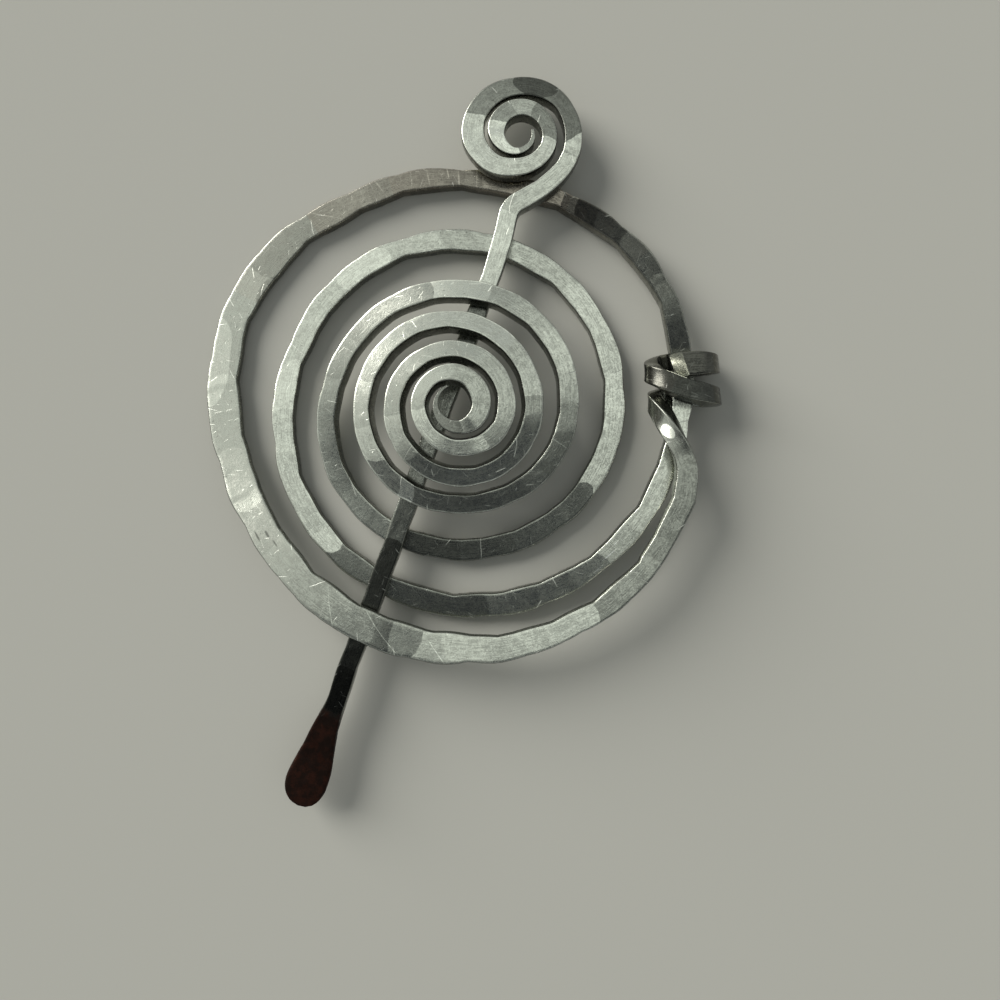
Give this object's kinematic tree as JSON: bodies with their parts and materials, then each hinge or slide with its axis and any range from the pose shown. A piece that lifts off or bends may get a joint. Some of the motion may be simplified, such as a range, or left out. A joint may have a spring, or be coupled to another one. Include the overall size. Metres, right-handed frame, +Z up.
{
  "type": "shawl pin",
  "caption": "Shawl pin of hammered wire: a domed spiral brooch whose end wraps round its ring, and a loose stick pin with a spiral head that slides through it.",
  "frame": {"origin": "middle of the spiral's turns, on the plane that the brooch lies on", "axes": "+Z up out of the shawl through the dome, +Y along the stick pin towards its spiral head"},
  "size_m": [0.0784, 0.1166, 0.013],
  "materials": {
    "brooch_aluminium": "hammered, satin, darker in the hollows",
    "stick_aluminium": "hammered, satin, its broad tip tarnished dark brown"
  },
  "bodies": {
    "brooch": {"spiral_wire": "brooch_aluminium"},
    "stick": {"stick_pin": "stick_aluminium"}
  },
  "joints": [
    {"name": "stick_slide", "type": "slide", "parent": "brooch", "child": "stick", "axis": [0, 1, 0], "range_m": [-0.02, 0.105]}
  ]
}
